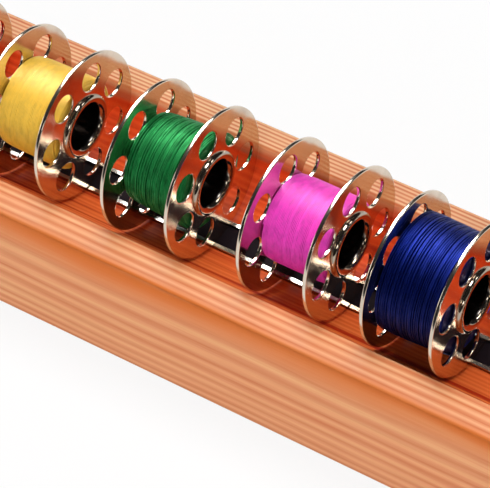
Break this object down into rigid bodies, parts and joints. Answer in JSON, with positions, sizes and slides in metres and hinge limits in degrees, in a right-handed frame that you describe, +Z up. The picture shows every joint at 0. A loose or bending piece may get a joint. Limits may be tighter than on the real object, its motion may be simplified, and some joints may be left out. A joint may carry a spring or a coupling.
{
  "type": "magnetic bobbin bar",
  "caption": "Wooden bar with a rounded trough and a magnet strip in a steel channel, holding a row of wound metal sewing-machine bobbins that lift off.",
  "frame": {"origin": "middle of the bar's base", "axes": "+X along the bar and the bobbins' axes, +Y to the bar's back, +Z up"},
  "size_m": [0.127, 0.0286, 0.0365],
  "materials": {
    "wood": "straight-grained, satin oil",
    "channel_steel": "bright cut edges",
    "magnet": "black, dull",
    "bobbin_nickel": "polished nickel plate",
    "red_thread": "wound polyester thread, soft sheen",
    "yellow_thread": "wound polyester thread, soft sheen",
    "green_thread": "wound polyester thread, soft sheen",
    "pink_thread": "wound polyester thread, soft sheen",
    "blue_thread": "wound polyester thread, soft sheen",
    "white_thread": "wound polyester thread, soft sheen"
  },
  "bodies": {
    "bar": {"wooden_bar": "wood", "steel_channel": "channel_steel", "magnet_strip": "magnet"},
    "red_bobbin": {"red_bobbin_left_flange": "bobbin_nickel", "red_bobbin_right_flange": "bobbin_nickel", "red_bobbin_hub": "bobbin_nickel", "red_bobbin_thread_core": "red_thread", "red_bobbin_thread_turns": "red_thread"},
    "yellow_bobbin": {"yellow_bobbin_left_flange": "bobbin_nickel", "yellow_bobbin_right_flange": "bobbin_nickel", "yellow_bobbin_hub": "bobbin_nickel", "yellow_bobbin_thread_core": "yellow_thread", "yellow_bobbin_thread_turns": "yellow_thread"},
    "green_bobbin": {"green_bobbin_left_flange": "bobbin_nickel", "green_bobbin_right_flange": "bobbin_nickel", "green_bobbin_hub": "bobbin_nickel", "green_bobbin_thread_core": "green_thread", "green_bobbin_thread_turns": "green_thread"},
    "pink_bobbin": {"pink_bobbin_left_flange": "bobbin_nickel", "pink_bobbin_right_flange": "bobbin_nickel", "pink_bobbin_hub": "bobbin_nickel", "pink_bobbin_thread_core": "pink_thread", "pink_bobbin_thread_turns": "pink_thread"},
    "blue_bobbin": {"blue_bobbin_left_flange": "bobbin_nickel", "blue_bobbin_right_flange": "bobbin_nickel", "blue_bobbin_hub": "bobbin_nickel", "blue_bobbin_thread_core": "blue_thread", "blue_bobbin_thread_turns": "blue_thread"},
    "white_bobbin": {"white_bobbin_left_flange": "bobbin_nickel", "white_bobbin_right_flange": "bobbin_nickel", "white_bobbin_hub": "bobbin_nickel", "white_bobbin_thread_core": "white_thread", "white_bobbin_thread_turns": "white_thread"}
  },
  "joints": [
    {"name": "red_bobbin_lift", "type": "slide", "parent": "bar", "child": "red_bobbin", "axis": [0, 0, 1], "range_m": [0, 0.03]},
    {"name": "yellow_bobbin_lift", "type": "slide", "parent": "bar", "child": "yellow_bobbin", "axis": [0, 0, 1], "range_m": [0, 0.03]},
    {"name": "green_bobbin_lift", "type": "slide", "parent": "bar", "child": "green_bobbin", "axis": [0, 0, 1], "range_m": [0, 0.03]},
    {"name": "pink_bobbin_lift", "type": "slide", "parent": "bar", "child": "pink_bobbin", "axis": [0, 0, 1], "range_m": [0, 0.03]},
    {"name": "blue_bobbin_lift", "type": "slide", "parent": "bar", "child": "blue_bobbin", "axis": [0, 0, 1], "range_m": [0, 0.03]},
    {"name": "white_bobbin_lift", "type": "slide", "parent": "bar", "child": "white_bobbin", "axis": [0, 0, 1], "range_m": [0, 0.03]}
  ]
}
